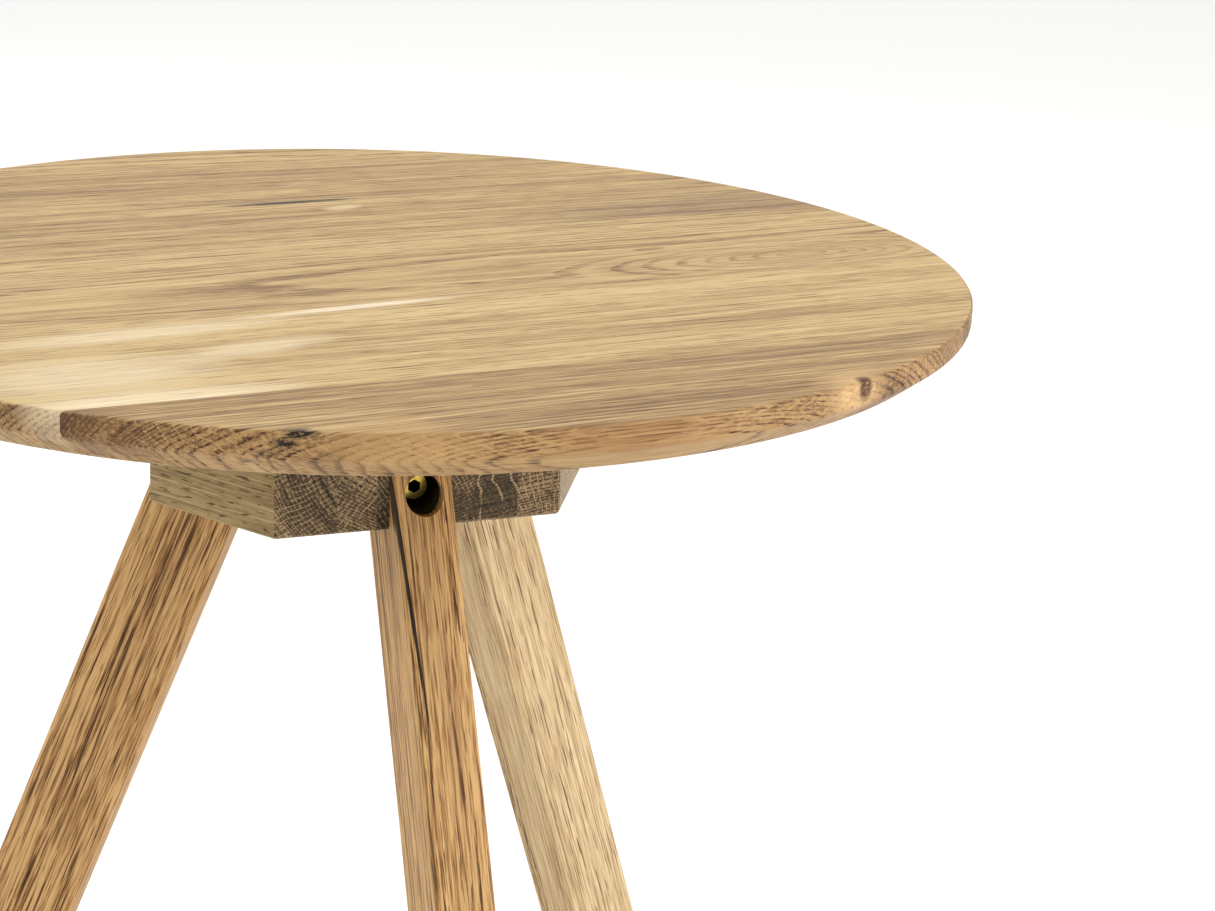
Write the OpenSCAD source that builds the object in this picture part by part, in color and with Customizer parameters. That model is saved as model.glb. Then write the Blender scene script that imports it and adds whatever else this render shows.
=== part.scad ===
// Round three-legged side table in solid oak. An edge-glued top sits on a laminated hub
// block, and three splayed legs are housed in the hub and drawn home by bolts.
// Millimetres, +Z up, origin on the floor under the middle of the top.
// The front leg stands towards -Y.

/* [Table] */
// Height from the floor to the top face
table_h = 480; // [400:5:580]
// Diameter of the round top
top_d = 600; // [500:10:720]

/* [Top] */
// Thickness of the boards of the top
top_t = 23; // [19:0.5:30]
// Radius that eases the rim's upper edge
rim_ease = 2; // [1:0.5:4]
// How far the bevel under the rim runs inwards
bevel_w = 16; // [8:1:24]
// How high the bevel under the rim rises
bevel_h = 12; // [6:0.5:15]
// Turn of the boards about the vertical, degrees
board_turn = 4.5; // [-15:0.5:15]
// Distance of the seam between boards 3 and 4 behind the middle
middle_seam = 52; // [20:1:70]
// Width of board 2, in front of which board 1 takes the rest
board_2_w = 135; // [110:1:150]
// Width of board 3
board_3_w = 125; // [90:1:135]
// Width of board 4, behind which board 5 takes the rest
board_4_w = 101; // [90:1:120]

/* [Hub] */
// Distance of the hub's cut corners from the middle
corner_r = 107; // [95:1:135]
// Height of the hub block
hub_h = 87; // [75:1:95]
// Chamfer along the hub's lower edge
hub_ease = 1.5; // [0.5:0.5:4]

/* [Legs] */
// Width of a leg, across the hub's radius
leg_w = 30; // [24:0.5:36]
// Depth of a leg, along the hub's radius and square to the leg
leg_depth = 47.5; // [40:0.5:56]
// Lean of a leg from the vertical, degrees
leg_splay = 21.7; // [16:0.1:24]
// Distance of a leg's back face from the middle, at the bottom of the hub
back_r = 52.4; // [51:0.1:60]
// How far a leg stands out of its flat at the bottom of the hub
leg_proud = 14; // [8:0.5:18]
// Radius of a leg's long edges
leg_edge = 3; // [1:0.5:6]
// Gap on each side of a leg in its housing
housing_clear = 0.15; // [0.05:0.05:0.5]
// Gap between the end of a leg and the underside of the top
end_clear = 1; // [0.5:0.5:3]

/* [Leg bolts] */
// Distance of the bolts from the bottom and from the top of the hub
bolt_inset = 18; // [15:0.5:24]
// Diameter of a bolt's shank
bolt_d = 8; // [6:1:10]
// Length of a bolt under its head
bolt_len = 45; // [40:1:54]
// Diameter of a bolt's head
bolt_head_d = 13; // [10:0.5:15]
// Height of a bolt's head
bolt_head_h = 8; // [5:0.5:10]
// Size of the hexagon in the head, across its flats
hex_af = 6; // [4:1:7]
// Depth of the hexagon
hex_deep = 4.5; // [3:0.5:5]
// Wood left in a leg between its counterbore and its back face
bolt_grip = 26; // [20:0.5:28]
// Diameter of the counterbore in a leg
counterbore_d = 19; // [18:0.5:22]
// Gap around a bolt's shank in its leg and washer
shank_clear = 0.25; // [0.1:0.05:0.6]
// Outer diameter of a washer
washer_d = 16; // [14:0.5:17.5]
// Thickness of a washer
washer_t = 1.6; // [1:0.1:2.5]
// Outer diameter of a threaded insert
insert_d = 12; // [11.5:0.5:13]
// Length of a threaded insert
insert_len = 14; // [10:1:18]
// Radial gap between a bolt and an insert, where the threads engage
thread_clear = 0.05; // [0.02:0.01:0.1]
// Free depth of the hub's bore behind a bolt's tip
tip_clear = 1; // [0.5:0.5:3]

/* [Top screws] */
// Diameter of a top screw
screw_d = 5; // [4:0.5:6]
// Length of a top screw under its head
screw_len = 60; // [50:1:70]
// How far a screw bites into the top
screw_bite = 15; // [10:1:17]
// Diameter of a screw's head
screw_head_d = 9; // [8:0.5:10]
// Height of a screw's head
screw_head_h = 3; // [2:0.5:4]
// Diameter of the hole that takes a screw's head up into the hub
screw_hole_d = 11; // [10.5:0.5:14]
// Gap around a screw's shank in the hub
screw_clear = 0.3; // [0.1:0.1:1]
// Distance of the screws from the hub's cut corners
screw_edge = 35; // [25:1:45]
// Distance between the two screws at a cut corner
screw_gap = 62; // [40:1:66]

/* [Feet] */
// Diameter of a felt pad
pad_d = 26; // [18:1:28]
// Thickness of a felt pad
pad_t = 3; // [2:0.5:5]

/* [Hidden] */
$fn = 64;
past = 10;                            // how far a cutting shape runs past what it cuts

top_r = top_d / 2;
top_z = table_h - top_t;              // underside of the top, and top of the hub
hub_z = top_z - hub_h;                // bottom of the hub
turns = [-90, 30, 150];               // directions of the front, right and left leg
lean = tan(leg_splay);
half_leg = leg_depth / 2 / cos(leg_splay);       // half a leg's depth, measured level
flat_r = back_r + 2 * half_leg - leg_proud;      // distance of a flat from the middle
bolt_z = [hub_z + bolt_inset, top_z - bolt_inset];
// Seams between the boards, counted across them from the middle of the top
seams = [
    middle_seam - board_3_w - board_2_w, middle_seam - board_3_w, middle_seam,
    middle_seam + board_4_w
];
// Glue lines between the hub's staves, as shares of the way from the cut corner on the
// left to the right leg's flat, which the staves lie parallel to
stave_lines = [0.135, 0.223, 0.331, 0.44, 0.538, 0.646, 0.735, 0.822, 0.911];

// Where a leg's back face, its middle and its outer face are at height z
function leg_in(z) = back_r - (z - hub_z) * lean;
function leg_mid(z) = leg_in(z) + half_leg;
function leg_out(z) = leg_mid(z) + half_leg;
// Where a bolt's washer seats and where the bolt ends
function seat_r(z) = leg_in(z) + bolt_grip;
function tip_r(z) = seat_r(z) + washer_t - bolt_len;
// An insert's outer end lies just below the slope of the housing's back wall
function insert_out(z) = leg_in(z) - insert_d / 2 * lean;
function insert_in(z) = insert_out(z) - insert_len;

// A cylinder that lies along a leg's direction, from radius r1 out to r2 at height z
module radial_bar(turn, z, r1, r2, d) {
    rotate([0, 0, turn]) translate([r1, 0, z]) rotate([0, 90, 0]) cylinder(h = r2 - r1, d = d);
}

// Places its children on a leg's own line: x outwards, y across, z up along the leg
module on_leg(turn) {
    rotate([0, 0, turn]) translate([leg_mid(hub_z), 0, hub_z])
        rotate([0, -leg_splay, 0]) children();
}

// Repeats its children at the six screws through the hub
module at_screws() {
    for (turn = turns, side = [-1, 1])
        rotate([0, 0, turn + 60])
            translate([corner_r - screw_edge, side * screw_gap / 2, 0]) children();
}

// The whole round top with its eased and bevelled rim
module top_disc() {
    translate([0, 0, top_z]) rotate_extrude($fn = 180) polygon(concat(
        [[0, 0], [top_r - bevel_w, 0], [top_r, bevel_h]],
        [for (a = [0 : 15 : 90])
            [top_r - rim_ease * (1 - cos(a)), top_t - rim_ease * (1 - sin(a))]],
        [[0, top_t]]
    ));
}

// Board number i of the top, counted from the front
module top_board(i) {
    from = i == 0 ? -top_r - past : seams[i - 1];
    to = i == len(seams) ? top_r + past : seams[i];
    color([0.80, 0.66 + 0.02 * (i % 2), 0.46]) difference() {
        intersection() {
            top_disc();
            rotate([0, 0, board_turn]) translate([-top_d, from, 0])
                cube([2 * top_d, to - from, 2 * table_h]);
        }
        at_screws() translate([0, 0, top_z - past])
            cylinder(h = past + screw_bite, d = screw_d + 2 * thread_clear);
    }
}

// The hub's block: a triangle with its corners cut off, and its lower edge chamfered
module hub_block() {
    difference() {
        intersection_for (turn = turns)
            rotate([0, 0, turn]) translate([-corner_r, -top_d, hub_z])
                cube([corner_r + flat_r, 2 * top_d, hub_h]);
        for (turn = turns) {
            lower_chamfer(turn, flat_r);
            lower_chamfer(turn + 60, corner_r);
        }
    }
}

// Takes the lower edge off one side of the hub
module lower_chamfer(turn, r) {
    rotate([0, 0, turn]) translate([r - hub_ease, 0, hub_z]) rotate([0, 45, 0])
        translate([0, -top_d, -2 * past]) cube([past, 2 * top_d, 4 * past]);
}

// What is cut from the hub for one leg: its housing and its insert bores
module leg_cuts(turn) {
    on_leg(turn) translate([-leg_depth / 2, -leg_w / 2 - housing_clear, -hub_h])
        cube([top_d, leg_w + 2 * housing_clear, 3 * hub_h]);
    for (z = bolt_z)
        radial_bar(turn, z, min(tip_r(z) - tip_clear, insert_in(z)), leg_mid(z), insert_d);
}

// Stave number i of the hub, counted from the cut corner on the left
module hub_stave(i) {
    span = corner_r + flat_r;
    from = i == 0 ? -past : stave_lines[i - 1] * span;
    to = i == len(stave_lines) ? span + past : stave_lines[i] * span;
    color([0.62 + 0.03 * (i % 3), 0.50, 0.36]) difference() {
        intersection() {
            hub_block();
            rotate([0, 0, turns[1]]) translate([from - corner_r, -top_d, 0])
                cube([to - from, 2 * top_d, table_h]);
        }
        for (turn = turns) leg_cuts(turn);
        at_screws() {
            translate([0, 0, hub_z - past]) cylinder(h = hub_h + 2 * past, d = screw_d + 2 * screw_clear);
            translate([0, 0, hub_z - past])
                cylinder(h = past + hub_h + screw_bite - screw_len, d = screw_hole_d);
        }
    }
}

// A leg's section: a rectangle with round corners
module leg_section() {
    square([leg_depth - 2 * leg_edge, leg_w], center = true);
    square([leg_depth, leg_w - 2 * leg_edge], center = true);
    for (x = [-1, 1], y = [-1, 1])
        translate([x * (leg_depth / 2 - leg_edge), y * (leg_w / 2 - leg_edge)])
            circle(r = leg_edge);
}

// One leg, cut level at both ends, with its counterbored bolt holes
module leg(turn) {
    difference() {
        intersection() {
            on_leg(turn) translate([0, 0, -table_h / cos(leg_splay)])
                linear_extrude(height = 2 * table_h / cos(leg_splay)) leg_section();
            translate([-top_d, -top_d, pad_t])
                cube([2 * top_d, 2 * top_d, top_z - end_clear - pad_t]);
        }
        for (z = bolt_z) {
            radial_bar(turn, z, seat_r(z), leg_out(z) + leg_depth, counterbore_d);
            radial_bar(turn, z, leg_in(z) - leg_depth, leg_out(z), bolt_d + 2 * shank_clear);
        }
    }
}

module front_leg() { color([0.72, 0.54, 0.34]) leg(turns[0]); }

module right_leg() { color([0.82, 0.70, 0.50]) leg(turns[1]); }

module left_leg() { color([0.70, 0.53, 0.34]) leg(turns[2]); }

// Socket-head bolts that hold the legs, two to a leg
module leg_bolts() {
    color([0.80, 0.70, 0.35]) for (turn = turns, z = bolt_z) difference() {
        under_head = seat_r(z) + washer_t;
        union() {
            radial_bar(turn, z, tip_r(z), under_head + past / 10, bolt_d);
            radial_bar(turn, z, under_head, under_head + bolt_head_h, bolt_head_d);
        }
        rotate([0, 0, turn]) translate([under_head + bolt_head_h - hex_deep, 0, z])
            rotate([0, 90, 0]) cylinder(h = hex_deep + past, d = hex_af / cos(30), $fn = 6);
    }
}

// A plain washer under each bolt's head
module leg_washers() {
    color([0.78, 0.72, 0.45]) for (turn = turns, z = bolt_z) difference() {
        radial_bar(turn, z, seat_r(z), seat_r(z) + washer_t, washer_d);
        radial_bar(turn, z, seat_r(z) - past, seat_r(z) + past, bolt_d + 2 * shank_clear);
    }
}

// A threaded insert in the hub for each bolt
module hub_inserts() {
    color([0.75, 0.68, 0.42]) for (turn = turns, z = bolt_z) difference() {
        radial_bar(turn, z, insert_in(z), insert_out(z), insert_d);
        radial_bar(turn, z, insert_in(z) - past, insert_out(z) + past, bolt_d + 2 * thread_clear);
    }
}

// Screws that go up through the hub into the top
module top_screws() {
    color("silver") at_screws() difference() {
        seat_z = top_z + screw_bite - screw_len;
        union() {
            translate([0, 0, seat_z]) cylinder(h = screw_len - screw_d / 2, d = screw_d);
            translate([0, 0, seat_z + screw_len - screw_d / 2])
                cylinder(h = screw_d / 2, d1 = screw_d, d2 = screw_d / 5);
            translate([0, 0, seat_z - screw_head_h]) cylinder(h = screw_head_h, d = screw_head_d);
        }
        for (a = [0, 90]) rotate([0, 0, a]) translate([0, 0, seat_z - screw_head_h])
            cube([screw_head_d / 2, screw_d / 5, screw_head_h], center = true);
    }
}

// A round felt pad under each foot
module felt_pads() {
    color([0.35, 0.33, 0.31]) for (turn = turns)
        rotate([0, 0, turn]) translate([leg_mid(pad_t), 0, 0]) cylinder(h = pad_t, d = pad_d);
}

top_board(0);  // top_board_1
top_board(1);  // top_board_2
top_board(2);  // top_board_3
top_board(3);  // top_board_4
top_board(4);  // top_board_5
hub_stave(0);  // hub_stave_1
hub_stave(1);  // hub_stave_2
hub_stave(2);  // hub_stave_3
hub_stave(3);  // hub_stave_4
hub_stave(4);  // hub_stave_5
hub_stave(5);  // hub_stave_6
hub_stave(6);  // hub_stave_7
hub_stave(7);  // hub_stave_8
hub_stave(8);  // hub_stave_9
hub_stave(9);  // hub_stave_10
front_leg();
right_leg();
left_leg();
leg_bolts();
leg_washers();
hub_inserts();
top_screws();
felt_pads();
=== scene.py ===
from math import cos, radians, sin, tau

import bmesh
import bpy
import numpy as np
from mathutils import Matrix, Vector


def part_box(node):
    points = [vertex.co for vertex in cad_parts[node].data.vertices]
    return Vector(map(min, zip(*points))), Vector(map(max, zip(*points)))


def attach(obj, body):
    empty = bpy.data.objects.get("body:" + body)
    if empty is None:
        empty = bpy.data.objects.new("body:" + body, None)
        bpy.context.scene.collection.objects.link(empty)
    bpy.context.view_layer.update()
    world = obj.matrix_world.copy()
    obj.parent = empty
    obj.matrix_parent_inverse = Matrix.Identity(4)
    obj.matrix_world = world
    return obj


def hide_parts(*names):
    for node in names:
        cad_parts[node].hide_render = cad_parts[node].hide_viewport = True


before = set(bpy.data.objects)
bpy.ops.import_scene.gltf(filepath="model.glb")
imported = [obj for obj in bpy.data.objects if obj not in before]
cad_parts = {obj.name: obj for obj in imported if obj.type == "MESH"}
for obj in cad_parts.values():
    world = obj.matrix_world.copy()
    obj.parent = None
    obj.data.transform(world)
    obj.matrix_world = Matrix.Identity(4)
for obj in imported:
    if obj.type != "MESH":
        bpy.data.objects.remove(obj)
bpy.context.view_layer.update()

# ---------------------------------------------------------------- the top boards
# Five European oak boards, edge-glued into one panel, then turned round on the lathe:
# a lightly eased upper edge, and a bevel under the rim that makes the top look thinner.
# Each board is sawn from its own log, so each has its own heart, rings and tint.

MM = 0.001
TOP_BOARDS = ["top_board_%d" % n for n in range(1, 6)]
top_low = min(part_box(n)[0].z for n in TOP_BOARDS)
top_high = max(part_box(n)[1].z for n in TOP_BOARDS)
top_radius = max(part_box(n)[1].x for n in TOP_BOARDS)
BOARD_TURN = radians(4.5)
SEAMS = [-208 * MM, -73 * MM, 52 * MM, 153 * MM]
RIM_EASE, BEVEL_IN, BEVEL_UP, BEVEL_BLEND = 2 * MM, 16 * MM, 12 * MM, 3 * MM
TURNED_STEPS, CORNER_STEPS = 720, 9
CUT_SLACK = 1e-7


def linear(hex_colour):
    """An sRGB hex colour as linear red, green, blue and alpha 1."""
    parts = np.array([int(hex_colour[i:i + 2], 16) for i in (1, 3, 5)]) / 255
    low, high = parts / 12.92, ((parts + 0.055) / 1.055) ** 2.4
    return [*np.where(parts <= 0.04045, low, high).tolist(), 1.0]


def add(tree, kind, *values, stops=(), **named):
    """Adds a node, with its operation after a point, as in Math.ADD, and gives it back.

    Values fill the sockets in order. A name with a capital is a socket's, with _ for a space,
    and any other name is a setting's. A node given as a value stands for its first output.
    stops are a colour ramp's places and colours.
    """
    kind, _, operation = kind.partition(".")
    node = tree.nodes.new("ShaderNode" + kind)
    if operation:
        node.operation = operation
    for i, (place, colour) in enumerate(stops):
        ramp = node.color_ramp.elements
        stop = ramp[i] if i < 2 else ramp.new(place)
        stop.position, stop.color = place, colour
    sockets = {socket.identifier.replace(" ", "_"): socket for socket in node.inputs}
    filled = list(zip(node.inputs, values))
    for key, value in named.items():
        if key.islower():
            setattr(node, key, value)
        else:
            filled.append((sockets[key], value))
    for socket, value in filled:
        if isinstance(value, bpy.types.Node):
            value = value.outputs[0]
        if isinstance(value, bpy.types.NodeSocket):
            tree.links.new(value, socket)
        else:
            socket.default_value = value
    return node


def blank(name):
    """A new material and its empty node tree."""
    material = bpy.data.materials.new(name)
    material.use_nodes = True
    material.node_tree.nodes.clear()
    return material, material.node_tree


# Turns per millimetre of each pattern, along the fibres and twice across them. Real fibres and
# pores are a tenth of a millimetre across, too fine to show, so they are drawn about 1 mm wide.
SLOW_BENDS, SMALL_BENDS = (0.0022, 0.016, 0.016), (0.012, 0.11, 0.11)
FIBRES, RAY_WOBBLE, RAY_PATCHES = (0.02, 0.9, 0.9), (0.02, 0.08, 0.08), (0.05, 0.07, 0.07)
# Turns per millimetre out from the heart and along the board, and per radian round the heart
BANDS, STRIPES = (0.05, 0.0012, 0.5), (0.22, 0.0018, 1.2)
# How wide and narrow years alternate: turns per millimetre of radius, and rings gained
YEAR_CHANGE, YEAR_GAIN = (0.06, 1, 1), 9.0
# Early wood across one year, from 0 at its start to 1 at its end
EARLY_WOOD = ((0.0, 1.0), (0.10, 1.0), (0.38, 0.0), (0.94, 0.0), (1.0, 1.0))
# Half a ray's thickness, as a share of the step between rays: solid inside the first, gone past
# the second. The third is how many steps a ray wobbles.
RAY_CORE, RAY_RIM, RAY_BEND = 0.03, 0.10, 1.5
# How far in millimetres the small bends shift the border of a mark
MARK_WANDER = 2.0
TINT_STOPS = (0.15, 0.5, 0.85)
# Height of the unit normal where a face starts to take the rim's tints, and where it has them all
RIM_STARTS, RIM_FULL = 0.98, 0.72
PORE_TINT, PORE_DEPTH = "#6f5334", 0.15 * MM
# Oil rubbed into sanded oak leaves a low sheen, duller than lacquer
OIL_ROUGHNESS, OIL_SPECULAR = 0.55, 0.22


def oak(name, grain, wood, marks=()):
    """Solid oak as a volume, so a face, an edge and an end of one board all agree.

    grain is the matrix that takes the board's own axes, u along the fibres, v and w across
    them, into the frame. wood gives in mm where the heart lies (v, w), how fast it drifts
    along u and the width of a ring, then the shares of each pattern and the tints. Rings are
    shells round the heart, bent by slow noise; pores are short tubes in each ring's early
    wood; rays are thin sheets that point at the heart. marks are knots, stains, streaks,
    painted shade and painted light: middle, half sizes and turn about w in the same axes,
    tint, strength, swell of the rings and softness of the border.
    """
    material, tree = blank(name)
    seed = wood["seed"]
    place = add(tree, "TexCoord").outputs["Object"]
    inverse = grain.inverted()
    own = add(tree, "Mapping", place, vector_type="POINT", Location=inverse.to_translation() / MM,
              Rotation=inverse.to_euler(), Scale=(1 / MM,) * 3)

    def noise(scale, detail=2.0, vector=own, key=0.0, rough=0.5):
        """Noise at a scale in turns per millimetre, its origin moved by the seed and the pattern's key."""
        origin = (seed * 7.31 + key, seed * 3.17 - key, key * 1.7)
        at = add(tree, "VectorMath.MULTIPLY_ADD", vector, scale, origin)
        return add(tree, "TexNoise", Vector=at, Scale=1.0, Detail=detail, Roughness=rough)

    def spread(value, low, high):
        """The range of a value from low to high drawn out to run from 0 to 1."""
        return add(tree, "MapRange", value, From_Min=low, From_Max=high)

    # Slow bends of the grain, and small ones
    slow = noise(SLOW_BENDS, 1.0, key=1.0).outputs["Color"]
    bent = add(tree, "VectorMath.MULTIPLY_ADD", slow, (0, wood["bend"], wood["bend"]), own)
    small = noise(SMALL_BENDS, 2.0, key=2.0).outputs["Color"]
    bent = add(tree, "VectorMath.MULTIPLY_ADD", small, (0, wood["ripple"], wood["ripple"]), bent)
    rippled = add(tree, "VectorMath.MULTIPLY_ADD", small, (0, MARK_WANDER, MARK_WANDER), own)
    # Distance from the heart, whose line drifts as it runs along the board
    u, v, w = add(tree, "SeparateXYZ", bent).outputs
    heart_v, heart_w = wood["heart"]
    drift_v, drift_w = wood["drift"]
    centred = (wood["bend"] + wood["ripple"]) / 2
    from_v = add(tree, "Math.SUBTRACT", v, add(tree, "Math.MULTIPLY_ADD", u, drift_v, heart_v + centred))
    from_w = add(tree, "Math.SUBTRACT", w, add(tree, "Math.MULTIPLY_ADD", u, drift_w, heart_w + centred))
    flat = add(tree, "CombineXYZ", from_v, from_w)
    reach = add(tree, "VectorMath.LENGTH", flat).outputs["Value"]
    turn = add(tree, "Math.ARCTAN2", from_w, from_v)
    # Marks: soft ellipsoids, some of which push the rings apart round them
    spots = []
    for where, half, angle, tint, strength, swell, soft in marks:
        middle = [where[0], where[1] + MARK_WANDER / 2, where[2] + MARK_WANDER / 2]
        near = add(tree, "Mapping", rippled, vector_type="TEXTURE", Location=middle,
                   Rotation=(0, 0, angle), Scale=half)
        ball = add(tree, "TexGradient", near, gradient_type="SPHERICAL").outputs["Fac"]
        if swell:
            reach = add(tree, "Math.MULTIPLY_ADD", ball, swell, reach)
        spots.append((add(tree, "Math.MULTIPLY", spread(ball, 0.0, soft), strength), tint))
    # Years differ in width: a slow noise along the radius stretches the count of rings
    uneven = noise(YEAR_CHANGE, 1.0, add(tree, "CombineXYZ", reach), 3.0)
    count = add(tree, "Math.MULTIPLY_ADD", uneven, YEAR_GAIN, add(tree, "Math.DIVIDE", reach, wood["ring"]))
    year = add(tree, "Math.FRACT", count)
    early = add(tree, "ValToRGB", year, stops=[(at, (grey, grey, grey, 1)) for at, grey in EARLY_WOOD])
    # Broad bands of darker heartwood and narrow stripes, both of which follow the rings
    banding = add(tree, "CombineXYZ", reach, u, turn)
    band = spread(noise(BANDS, 2.0, banding, 4.0, 0.6), 0.3, 0.7)
    stripe = spread(noise(STRIPES, 3.0, banding, 5.0, 0.6), 0.33, 0.67)
    # Streaks, fibres and pores: noise drawn out along the board
    streak = spread(noise(wood["dash"], 4.0, bent, 6.0, 0.7), 0.38, 0.62)
    fibre = spread(noise(FIBRES, 3.0, key=7.0, rough=0.75), 0.40, 0.60)
    pore = spread(noise(wood["pore"], 1.0, key=8.0), 0.54, 0.60)
    pore = add(tree, "Math.MULTIPLY", pore, add(tree, "Math.MULTIPLY_ADD", early, 0.8, 0.2))
    # Rays: sheets a fraction of a millimetre thick at steps of angle round the heart
    wobble = add(tree, "Math.MULTIPLY", noise(RAY_WOBBLE, 1.0, key=9.0), RAY_BEND)
    spoke = add(tree, "Math.FRACT", add(tree, "Math.MULTIPLY_ADD", turn, wood["rays"], wobble))
    sheet = add(tree, "Math.ABSOLUTE", add(tree, "Math.SUBTRACT", spoke, 0.5))
    patchy = spread(noise(RAY_PATCHES, 1.0, key=10.0), 0.38, 0.52)
    ray = add(tree, "Math.MULTIPLY", patchy, spread(sheet, RAY_RIM, RAY_CORE))

    def tinted(tints, start, parts):
        """The sum of the patterns' shares, each counted from its middle, looked up in three tints."""
        tone = 0.5 + start - sum(share for _, share in parts) / 2
        for part, share in parts:
            tone = add(tree, "Math.MULTIPLY_ADD", part, share, tone)
        stops = [(at, linear(tint)) for at, tint in zip(TINT_STOPS, tints)]
        return add(tree, "ValToRGB", tone, stops=stops)

    # Faces along the grain have dark pores, and pale flecks where a ray is cut lengthwise
    face = tinted(wood["face"], wood["tone"], [
        (early, wood["early"]), (band, wood["band"]), (stripe, wood["stripe"]), (streak, wood["streak"]),
        (fibre, wood["fibre"])])
    face = add(tree, "Mix", add(tree, "Math.MULTIPLY", pore, wood["pores"]), data_type="RGBA",
               blend_type="MULTIPLY", A_Color=face, B_Color=linear(PORE_TINT)).outputs[2]
    face = add(tree, "Mix", add(tree, "Math.MULTIPLY", ray, wood["fleck"]), data_type="RGBA",
               A_Color=face, B_Color=linear(wood["face"][0])).outputs[2]
    normal = add(tree, "NewGeometry").outputs["Normal"]
    along = grain.to_3x3().col[0].normalized()
    facing = add(tree, "VectorMath.DOT_PRODUCT", normal, along).outputs["Value"]
    facing = add(tree, "Math.ABSOLUTE", facing)
    # Ends across the grain drink in the oil and turn darker, with pale rays between the pores
    end = tinted(wood["end"], wood["end_tone"], [
        (early, wood["hatch"]), (ray, -wood["rayed"]), (pore, 0.45), (stripe, 0.25), (band, wood["blotch"]),
        (fibre, 0.35), (facing, wood["soak"])])
    across = add(tree, "Math.POWER", facing, wood["end_power"])
    if wood["rim"]:
        upright = add(tree, "Math.ABSOLUTE", add(tree, "SeparateXYZ", normal).outputs["Z"])
        wall = spread(upright, RIM_STARTS, RIM_FULL)
        across = add(tree, "Math.MAXIMUM", across, add(tree, "Math.MULTIPLY", wall, wood["rim"]))
    colour = add(tree, "Mix", across, data_type="RGBA", A_Color=face, B_Color=end).outputs[2]
    # The fibres show through every mark
    showing = add(tree, "Math.ADD", fibre, 0.5)
    for amount, tint in spots:
        amount = add(tree, "Math.MULTIPLY", amount, showing, use_clamp=True)
        colour = add(tree, "Mix", amount, data_type="RGBA", A_Color=colour, B_Color=linear(tint)).outputs[2]

    # Pores are sunk and fibres stand up a little
    relief = add(tree, "Math.MULTIPLY_ADD", pore, -1.0, add(tree, "Math.MULTIPLY", fibre, 0.4))
    bump = add(tree, "Bump", Strength=0.4, Distance=PORE_DEPTH, Height=relief)
    shader = add(tree, "BsdfPrincipled", Base_Color=colour, Roughness=OIL_ROUGHNESS, Normal=bump,
                 Specular_IOR_Level=OIL_SPECULAR)
    add(tree, "OutputMaterial", shader)
    return material


def rim_profile():
    """Points (r, z): a quarter circle over the edge, the wall, and the bevel between two bends."""
    ease = np.radians(np.linspace(0, 90, CORNER_STEPS))
    upper = np.stack([top_radius - RIM_EASE * (1 - np.sin(ease)),
                      top_high - RIM_EASE * (1 - np.cos(ease))], 1)
    corner = np.array([top_radius, top_low + BEVEL_UP])
    foot = np.array([top_radius - BEVEL_IN, top_low])
    slope = (foot - corner) / np.linalg.norm(foot - corner)

    def blend(point, before, after):
        """A parabola from a to b: (1 - t) squared of a, 2t(1 - t) of the corner and t squared of b."""
        t = np.linspace(0, 1, CORNER_STEPS)[:, None]
        a, b = point + before * BEVEL_BLEND, point + after * BEVEL_BLEND
        return (1 - t) ** 2 * a + 2 * t * (1 - t) * point + t ** 2 * b

    return np.concatenate([upper, blend(corner, np.array([0, 1]), slope),
                           blend(foot, -slope, np.array([-1, 0]))])


def turned(name, profile, steps):
    """A solid of revolution: point (r, z) of the profile goes to (r cos a, r sin a, z) for each angle a.

    A flat closes each end.
    """
    angle = np.arange(steps) * tau / steps
    rings = np.stack([np.outer(profile[:, 0], np.cos(angle)), np.outer(profile[:, 0], np.sin(angle)),
                      np.repeat(profile[:, 1:], steps, 1)], 2).reshape(-1, 3)
    row, step = np.meshgrid(np.arange(len(profile) - 1), np.arange(steps), indexing="ij")
    after = (step + 1) % steps
    walls = np.stack([row * steps + step, (row + 1) * steps + step,
                      (row + 1) * steps + after, row * steps + after], 2).reshape(-1, 4)
    last = (len(profile) - 1) * steps
    flats = [list(range(steps)), [last + i for i in range(steps)][::-1]]
    mesh = bpy.data.meshes.new(name)
    mesh.from_pydata(rings.tolist(), [], walls.tolist() + flats)
    mesh.polygons.foreach_set("use_smooth", [True] * len(walls) + [False, False])
    return mesh


def saw(mesh, point, direction):
    """Cuts a closed mesh with a plane, keeps the side behind its direction, and closes the cut."""
    work = bmesh.new()
    work.from_mesh(mesh)
    cut = bmesh.ops.bisect_plane(work, geom=work.verts[:] + work.edges[:] + work.faces[:],
                                 dist=CUT_SLACK, plane_co=point, plane_no=direction, clear_outer=True)
    edges = [g for g in cut["geom_cut"] if isinstance(g, bmesh.types.BMEdge)]
    for face in bmesh.ops.contextual_create(work, geom=edges)["faces"]:
        face.smooth = False
    work.to_mesh(mesh)
    work.free()


def shown(name, mesh, material, slot, *nodes):
    """Puts a mesh in the scene as a piece that stands for CAD nodes."""
    piece = bpy.data.objects.new(name, mesh)
    bpy.context.scene.collection.objects.link(piece)
    piece.data.materials.clear()
    piece.data.materials.append(material)
    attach(piece, "root")
    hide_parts(*nodes)


board_axes = Matrix.Translation((0, 0, top_low)) @ Matrix.Rotation(BOARD_TURN, 4, "Z")
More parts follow.
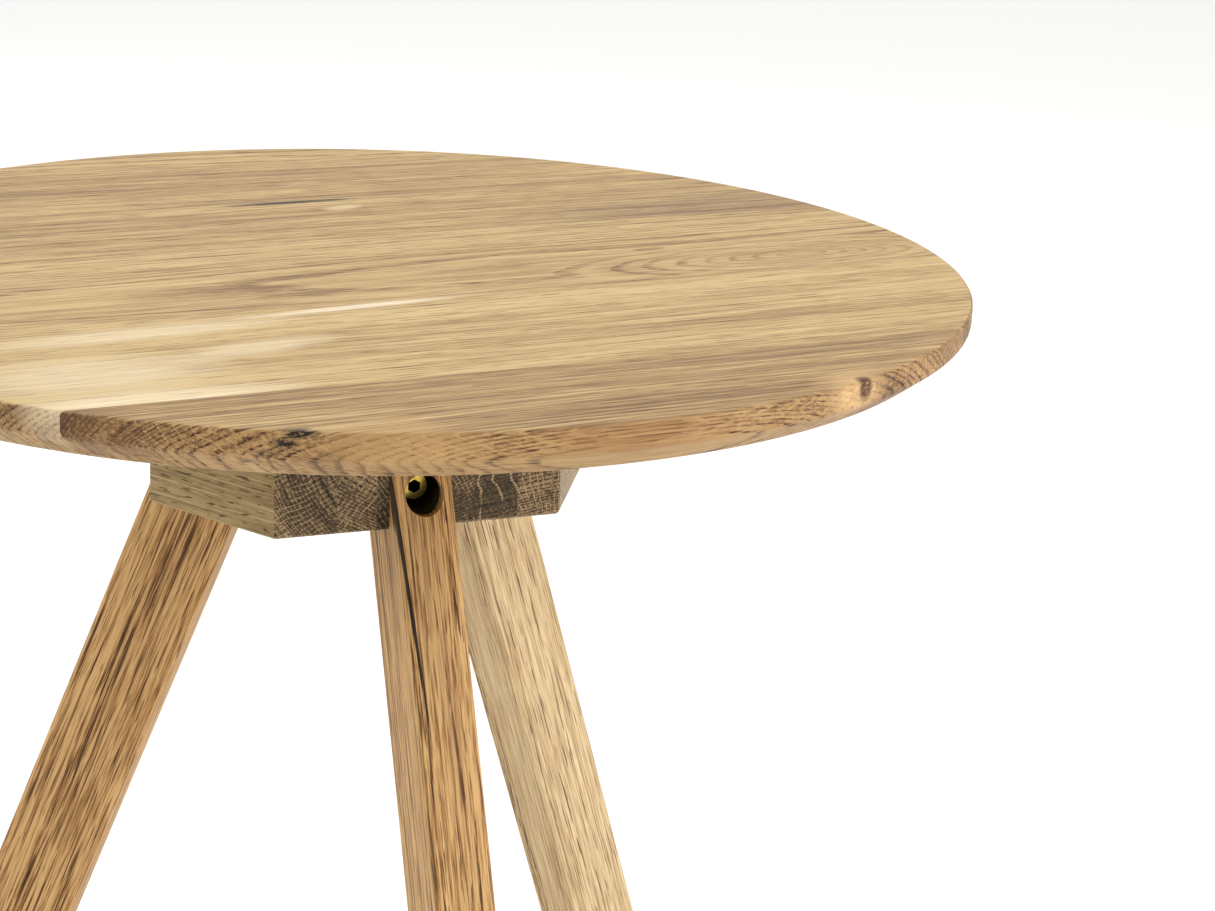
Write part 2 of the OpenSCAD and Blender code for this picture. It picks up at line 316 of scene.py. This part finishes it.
# European oak, planed, sanded and oiled: honey faces with fine dark pores and a low sheen, and
# browner ends round the rim, where the open pores drink in more oil. Pale, middle and dark tints.
HONEY = ("#c6ab78", "#a78859", "#795a39")
RIM_TINTS = ("#a98557", "#7b5936", "#3a2415")
plain = dict(bend=14.0, ripple=1.6, ring=2.4, drift=(0.0, 0.0), tone=0.0, end_tone=0.06, end_power=1.2,
             early=0.18, band=0.26, stripe=0.22, streak=0.22, fibre=0.36, pores=0.7, fleck=0.12,
             dash=(0.007, 0.34, 0.34), pore=(0.05, 0.8, 0.8), rays=48.0, hatch=0.26, rayed=0.30,
             soak=0.36, blotch=0.50, rim=0.9, face=HONEY, end=RIM_TINTS)
# Each board's wood, then its marks: middle, half sizes, turn, tint, strength, swell and softness
BOARDS = [
    # Brown streaks, a black stain over the edge, pale and brown patches on the rim, and a small knot
    (dict(plain, seed=1.0, heart=(-370, -95), drift=(0.02, 0.0), band=0.34, stripe=0.34, tone=0.08), [
        ((130, -222, 20), (230, 12, 14), 0.0, "#7d5f3d", 0.55, 0, 0.5),
        ((60, -245, 20), (190, 7, 14), 0.0, "#7d5f3d", 0.40, 0, 0.5),
        ((40, -266, 22), (110, 2, 8), 0.0, "#6e5234", 0.50, 0, 0.5),
        ((-137, -268, 22), (9, 9, 2.5), 0.0, "#1c140d", 0.9, 3, 0.6),
        ((-143, -265, 18), (8, 8, 3), 0.0, "#1c140d", 0.8, 0, 0.6),
        ((-149, -261, 13), (7, 7, 3), 0.0, "#2b2119", 0.5, 0, 0.6),
        ((-100, -283, 16), (44, 30, 14), 0.0, "#c79f69", 0.45, 0, 0.6),
        ((116, -276, 18), (26, 20, 14), 0.0, "#d2ab78", 0.60, 0, 0.6),
        ((-2, -300, 16), (50, 14, 12), 0.0, "#8a6039", 0.40, 0, 0.6),
        ((-205, -222, 14), (22, 22, 20), 0.0, "#6b4c2f", 0.45, 0, 0.6),
        ((-155, -257, 8), (8, 8, 3), 0.0, "#1c140d", 0.8, 3, 0.6),
        ((121, -274, 20), (6, 6, 8), 0.0, "#4c3018", 0.85, 5, 0.5)]),
    # Clouds of pale sapwood on the left
    (dict(plain, seed=2.0, heart=(-300, -70), drift=(0.03, 0.0), band=0.30, tone=-0.12), [
        ((-150, -100, 22), (90, 14, 20), 0.05, "#e6d5b2", 0.44, 0, 0.6),
        ((-190, -160, 22), (70, 34, 20), 0.0, "#e6d5b2", 0.44, 0, 0.6),
        ((-110, -140, 22), (50, 14, 20), 0.2, "#e6d5b2", 0.38, 0, 0.6),
        ((-178, -203, 22), (80, 16, 20), 0.0, "#e6d5b2", 0.60, 0, 0.6),
        ((-40, -84, 22), (70, 5, 20), 0.08, "#ecdcc0", 0.55, 0, 0.5)]),
    # A flame, where a swelling of the trunk lifts the rings through the surface
    (dict(plain, seed=3.0, heart=(-34, -90), drift=(0.0, 0.012), band=0.24, early=0.26, tone=-0.02), [
        ((225, -48, 22), (150, 32, 30), 0.0, "#9d7d52", 0.25, 20, 0.5),
        ((150, -17, 22), (12, 3, 8), 0.1, "#6e5234", 0.65, 4, 0.5)]),
    # Brown heartwood at the right end, a mineral streak and a pale knot beside it
    (dict(plain, seed=4.0, heart=(-40, -90), tone=0.02), [
        ((300, 66, 22), (210, 48, 40), 0.0, "#83684a", 0.60, 0, 0.5),
        ((255, 61, 22), (130, 2.5, 12), 0.0, "#68482f", 0.60, 0, 0.5),
        ((215, 78, 22), (100, 2, 12), -0.03, "#68482f", 0.45, 0, 0.5),
        ((16, 145, 22), (46, 4, 12), 0.0, "#33251a", 1.3, 3, 0.5),
        ((38, 124, 22), (15, 7, 8), 0.3, "#d6bf98", 0.55, 0, 0.5)]),
    (dict(plain, seed=5.0, heart=(320, -120), drift=(-0.02, 0.0), band=0.34, tone=0.03), []),
]
across_boards = Vector((-sin(BOARD_TURN), cos(BOARD_TURN), 0))
for i, node in enumerate(TOP_BOARDS):
    mesh = turned(node, rim_profile(), TURNED_STEPS)
    if i > 0:
        saw(mesh, across_boards * SEAMS[i - 1], -across_boards)
    if i < len(SEAMS):
        saw(mesh, across_boards * SEAMS[i], across_boards)
    shown(node + "_wood", mesh, oak(node + "_oiled_oak", board_axes, *BOARDS[i]), "oak_top", node)

# ---------------------------------------------------------------- the hub
# Oak staves glued face to face and sawn to a triangle with its corners cut off, so the
# front shows their ends and the cut corner on the left one stave's long grain. A housing
# in each flat takes a leg.

HUB = ["hub_stave_%d" % n for n in range(1, 11)]
HUB_TURN = radians(30)
# Points closer than WELD are one, faces that turn less than FLAT_TURN are one plane, and an edge
# that turns more than SHARP_TURN stays sharp
WELD, FLAT_TURN, SHARP_TURN = 0.001 * MM, radians(0.2), radians(28)
hub_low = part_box(HUB[4])[0].z
hub_height = top_low - hub_low


def finished(node):
    """A copy of a CAD solid: loose triangles merged, flat faces joined, and edges sharp where faces turn."""
    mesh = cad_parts[node].data.copy()
    mesh.name = node
    work = bmesh.new()
    work.from_mesh(mesh)
    bmesh.ops.remove_doubles(work, verts=work.verts, dist=WELD)
    bmesh.ops.dissolve_limit(work, angle_limit=FLAT_TURN, verts=work.verts, edges=work.edges)
    for face in work.faces:
        face.smooth = True
    for edge in work.edges:
        edge.smooth = len(edge.link_faces) == 2 and edge.calc_face_angle() < SHARP_TURN
    work.to_mesh(mesh)
    work.free()
    return mesh


# Oak sawn across the grain and oiled: ends go dark brown between pale rays, and the long grain
# is olive with short dark dashes, where pores are cut at a slant.
hub_plain = dict(plain, rim=0.0, ring=1.9, bend=6.0, ripple=1.0, early=0.05, band=0.25, stripe=0.10,
                 streak=0.15, fibre=0.35, pore=(0.13, 0.75, 0.75), pores=0.95, fleck=0.0, end_power=0.7,
                 hatch=0.30, rayed=0.60, soak=0.0, blotch=0.3, face=("#b29c70", "#917b50", "#5e4a2e"),
                 end=("#a08765", "#4b3924", "#160f08"))
# For each stave: where its heart lies across the staves and up, its rays and its tone. The last
# stave's pale tone is a painted highlight on the glancing right cut corner of the hub.
STAVES = [
    ((95, 22), 45, -0.05), ((75, 80), 50, -0.10), ((-60, 60), 45, 0.18), ((-40, 70), 50, 0.12),
    ((-30, 150), 24, 0.22), ((10, -120), 40, -0.08), ((60, 60), 45, -0.35), ((-70, 40), 45, -0.30),
    ((30, 90), 40, -0.40), ((-50, -60), 45, -0.35)]
STAVES_ACROSS = np.array([cos(HUB_TURN), sin(HUB_TURN), 0])
for i, node in enumerate(HUB):
    mesh = finished(node)
    points = np.empty(len(mesh.vertices) * 3, np.float32)
    mesh.vertices.foreach_get("co", points)
    across_hub = points.reshape(-1, 3) @ STAVES_ACROSS
    middle = Vector((float(across_hub.min() + across_hub.max()) / 2, 0, hub_low + hub_height / 2))
    # Fibres run at right angles to the staves' thickness
    axes = Matrix.Rotation(HUB_TURN, 4, "Z") @ Matrix.Translation(middle) @ Matrix(
        ((0, 1, 0, 0), (1, 0, 0, 0), (0, 0, -1, 0), (0, 0, 0, 1)))
    heart, rays, tone = STAVES[i]
    wood = dict(hub_plain, seed=11.0 + i, heart=(heart[0], -heart[1]), rays=rays, end_tone=tone)
    shown(node + "_wood", mesh, oak(node + "_oiled_oak", axes, wood), "oak_hub", node)

# ---------------------------------------------------------------- the legs
# Three square-cut oak bars with eased edges, splayed, and cut level at the foot and under
# the top. Each has two counterbored holes for its bolts.

LEAN = radians(21.7)
# Oak with brown heartwood in two legs and pale sapwood in the third, planed along the grain: long
# dark streaks and dashes of open pores under a low sheen.
BROWN_TINTS = ("#c9a26c", "#a17543", "#4d3017")
PALE_TINTS = ("#d6c096", "#bfa47b", "#8f704b")
leg_plain = dict(plain, rim=0.0, bend=10.0, ring=2.6, early=0.10, band=0.28, stripe=0.45, streak=0.65,
                 fibre=0.60, pores=0.9, dash=(0.017, 0.55, 0.55), pore=(0.05, 1.0, 1.0))
# The walls of the two bolt holes up the leg, painted nearly black: painted shade inside the holes
PAINTED_BORE_SHADE = [((u, 0, -215), (26, 15, 18.2), 0.0, "#0a0603", 2.0, 0, 0.07) for u in (331, 386)]
front_wood = dict(leg_plain, seed=31.0, heart=(70, -30), face=BROWN_TINTS, tone=-0.08)
right_wood = dict(leg_plain, seed=32.0, heart=(-60, 90), face=PALE_TINTS, tone=0.02, band=0.2, stripe=0.2,
                  streak=0.25, fibre=0.4)
left_wood = dict(leg_plain, seed=33.0, heart=(40, 80), face=BROWN_TINTS, tone=-0.14, band=0.2,
                 stripe=0.35, streak=0.55)
# A drying crack runs down the front leg's face beside a band of brown heartwood. The crack is
# drawn as a near-black line: painted shade inside it.
FRONT_MARKS = [
    ((298, -13.7, -232), (100, 1.1, 7), -0.05, "#0f0a06", 2.0, 0, 0.4),
    ((345, -5, -232), (150, 9, 14), 0.01, "#5d3a21", 0.50, 0, 0.7),
    ((210, 2, -232), (150, 6, 14), 0.01, "#6b4428", 0.30, 0, 0.8),
    # A faint pale band over the front leg's left side: painted light that lifts that side
    ((150, -17, -210), (700, 5, 70), 0.0, "#cbad80", 0.16, 0, 0.8)]
LEGS = [("front_leg", -90, "oak_leg_brown", front_wood, FRONT_MARKS + PAINTED_BORE_SHADE),
        ("right_leg", 30, "oak_leg_pale", right_wood, PAINTED_BORE_SHADE),
        ("left_leg", 150, "oak_leg_brown", left_wood, PAINTED_BORE_SHADE)]
for node, bearing, slot, wood, marks in LEGS:
    # u runs up the leg, v across it and w inwards
    axes = Matrix.Rotation(radians(bearing), 4, "Z") @ Matrix.Rotation(-LEAN, 4, "Y") @ Matrix(
        ((0, 0, -1, 0), (0, 1, 0, 0), (1, 0, 0, 0), (0, 0, 0, 1)))
    shown(node + "_wood", finished(node), oak(node + "_oiled_oak", axes, wood, marks), slot, node)

# ---------------------------------------------------------------- the metal fixings
# Socket-head bolts, washers and threaded inserts of zinc-plated steel passivated yellow,
# and bright zinc-plated screws that hold the hub to the top.

# Turns per metre: a bloom of about 2 mm, and scratches 0.3 mm apart
BLOOM, SCRATCHES = 420.0, (3000, 200, 3000)
# The tint of the painted shade inside the bolts' hexagon sockets
SOCKET_SHADE_TINT = "#0b0906"
SOCKET_REACH, SOCKET_DEPTH, SOCKET_LIP = 4.6 * MM, 5 * MM, 0.5 * MM


def plated(name, tints, roughness, film):
    """Plated steel: a bloom in the passivation, scratches in the gloss, and near-black painted shade on
    faces marked as inside a socket.
    """
    material, tree = blank(name)
    place = add(tree, "TexCoord").outputs["Object"]
    bloom = add(tree, "TexNoise", Vector=place, Scale=BLOOM, Detail=3.0)
    shades = add(tree, "ValToRGB", bloom, stops=[(0.35, linear(tints[0])), (0.65, linear(tints[1]))])
    stretched = add(tree, "VectorMath.MULTIPLY", place, SCRATCHES)
    scratch = add(tree, "TexNoise", Vector=stretched, Scale=1.0, Detail=4.0)
    gloss = add(tree, "Math.MULTIPLY_ADD", scratch, film, roughness)
    bump = add(tree, "Bump", Strength=0.15, Distance=0.05 * MM, Height=scratch)
    # Faces marked as inside a bolt's socket take a near-black painted shade
    painted_socket_shade = add(tree, "Attribute", attribute_name="painted_socket_shade").outputs["Fac"]
    colour = add(tree, "Mix", painted_socket_shade, data_type="RGBA", A_Color=shades, B_Color=linear(SOCKET_SHADE_TINT)).outputs[2]
    shader = add(tree, "BsdfPrincipled", Base_Color=colour, Metallic=1.0, Roughness=gloss, Normal=bump)
    add(tree, "OutputMaterial", shader)
    return material


def mark_sockets(mesh):
    """Stores 1 on the faces inside each bolt's hexagon socket, near its axis and just behind its front,
    where painted shade goes.
    """
    centres = np.empty(len(mesh.polygons) * 3, np.float32)
    mesh.polygons.foreach_get("center", centres)
    centres = centres.reshape(-1, 3)
    angles = np.radians([bearing for _, bearing, *_ in LEGS])
    out = np.stack([np.cos(angles), np.sin(angles)], 1)
    own = np.argmax(centres[:, :2] @ out.T, 1)
    along = np.max(centres[:, :2] @ out.T, 1)
    sideways = centres[:, 0] * out[own, 1] - centres[:, 1] * out[own, 0]
    marked = np.zeros(len(centres), bool)
    upper = centres[:, 2] > centres[:, 2].mean()
    for row in (upper, ~upper):
        axis = (centres[row, 2].max() + centres[row, 2].min()) / 2
        behind = along[row].max() - along
        near = np.hypot(sideways, centres[:, 2] - axis) < SOCKET_REACH
        marked |= row & near & (behind > SOCKET_LIP) & (behind < SOCKET_DEPTH)
    mesh.attributes.new("painted_socket_shade", "FLOAT", "FACE").data.foreach_set("value", marked.astype(np.float32))


# Zinc plate with a yellow passivation, rolled bright: a greenish gold with sharp glints
yellow_zinc = plated("yellow_passivated_zinc", ("#d8c46a", "#b3923c"), 0.10, 0.16)
# Zinc plate with a clear passivation: a cool, slightly duller silver
bright_zinc = plated("bright_zinc_plate", ("#c9ccd0", "#a9adb3"), 0.22, 0.18)
for node, material, slot in (("leg_bolts", yellow_zinc, "yellow_zinc"),
                             ("leg_washers", yellow_zinc, "yellow_zinc"),
                             ("hub_inserts", yellow_zinc, "yellow_zinc"),
                             ("top_screws", bright_zinc, "bright_zinc")):
    mesh = finished(node)
    if node == "leg_bolts":
        mark_sockets(mesh)
    shown(node + "_metal", mesh, material, slot, node)

# ---------------------------------------------------------------- the felt pads
# Discs of grey wool felt, pressed and punched, glued under the feet. Matted wool gives a dull
# mottle of clumps of 1.5 mm and a faint fuzz of light along its edges.

# Turns per metre
TANGLE, CLUMPS = 900.0, 650.0
felt, tree = blank("pressed_wool_felt")
place = add(tree, "TexCoord").outputs["Object"]
tangle = add(tree, "TexNoise", Vector=place, Scale=TANGLE, Detail=6.0, Roughness=0.7)
clump = add(tree, "TexVoronoi", feature="SMOOTH_F1", Vector=place, Scale=CLUMPS)
mixed = add(tree, "Math.MULTIPLY_ADD", clump, 0.4, add(tree, "Math.MULTIPLY", tangle, 0.6))
greys = add(tree, "ValToRGB", mixed, stops=[(0.3, linear("#5d5853")), (0.7, linear("#8b857d"))])
bump = add(tree, "Bump", Strength=0.8, Distance=0.3 * MM, Height=mixed)
wool = add(tree, "BsdfPrincipled", Base_Color=greys, Roughness=0.95, Normal=bump, Sheen_Weight=0.4)
add(tree, "OutputMaterial", wool)
shown("felt_pads_wool", finished("felt_pads"), felt, "felt", "felt_pads")

# ---------------------------------------------------------------- the studio
# A pale floor, even soft light all round, a broad lamp in front on the right, and another
# behind on the left that lays a faint sheen on the top.

FLOOR_HALF = 12.0
floor_mesh = bpy.data.meshes.new("floor")
corners = [(x * FLOOR_HALF, y * FLOOR_HALF, 0) for x, y in ((-1, -1), (1, -1), (1, 1), (-1, 1))]
floor_mesh.from_pydata(corners, [], [(0, 1, 2, 3)])
floor = bpy.data.objects.new("floor", floor_mesh)
bpy.context.scene.collection.objects.link(floor)
# Matt white paint, rolled on: a stipple of about 3 mm that barely shows
ROLLER_STIPPLE = 300.0
floor_paint, tree = blank("matt_white_paint_rolled")
place = add(tree, "TexCoord").outputs["Object"]
roller = add(tree, "TexNoise", Vector=place, Scale=ROLLER_STIPPLE, Detail=3.0)
whites = add(tree, "ValToRGB", roller, stops=[(0.0, linear("#f2f2f0")), (1.0, linear("#f6f6f5"))])
bump = add(tree, "Bump", Strength=0.1, Distance=0.1 * MM, Height=roller)
paint = add(tree, "BsdfPrincipled", Base_Color=whites, Roughness=0.9, Normal=bump)
add(tree, "OutputMaterial", paint)
floor_mesh.materials.append(floor_paint)

world = bpy.data.worlds.new("soft_room")
bpy.context.scene.world = world
world.use_nodes = True
world.node_tree.nodes["Background"].inputs["Color"].default_value = linear("#ffffff")
world.node_tree.nodes["Background"].inputs["Strength"].default_value = 1.0


def softbox(name, place, target, size, watts):
    """A square lamp at place that faces target."""
    lamp = bpy.data.lights.new(name, "AREA")
    lamp.size, lamp.energy = size, watts
    holder = bpy.data.objects.new(name, lamp)
    holder.location = place
    holder.rotation_euler = (Vector(target) - Vector(place)).to_track_quat("-Z", "Y").to_euler()
    bpy.context.scene.collection.objects.link(holder)


softbox("key", (1.8, -1.4, 1.2), (0, 0, 0.4), 2.2, 40)
softbox("sheen", (-1.5, 2.0, 1.9), (-0.2, 0, 0.48), 2.4, 48)

CAMERA_PLACE = (-0.4188, -1.2978, 0.7948)
CAMERA_HEADING, CAMERA_PITCH, CAMERA_ROLL = radians(23.10), radians(16.80), radians(-2.29)
CAMERA_LENS = 83.08
camera = bpy.data.objects.new("camera", bpy.data.cameras.new("camera"))
camera.data.sensor_width, camera.data.lens = 36.0, CAMERA_LENS
aim = Matrix.Rotation(-CAMERA_HEADING, 4, "Z") @ Matrix.Rotation(radians(90) - CAMERA_PITCH, 4, "X")
camera.matrix_world = Matrix.Translation(CAMERA_PLACE) @ aim @ Matrix.Rotation(-CAMERA_ROLL, 4, "Z")
bpy.context.scene.collection.objects.link(camera)
bpy.context.scene.camera = camera
bpy.context.scene.view_settings.view_transform = "Standard"
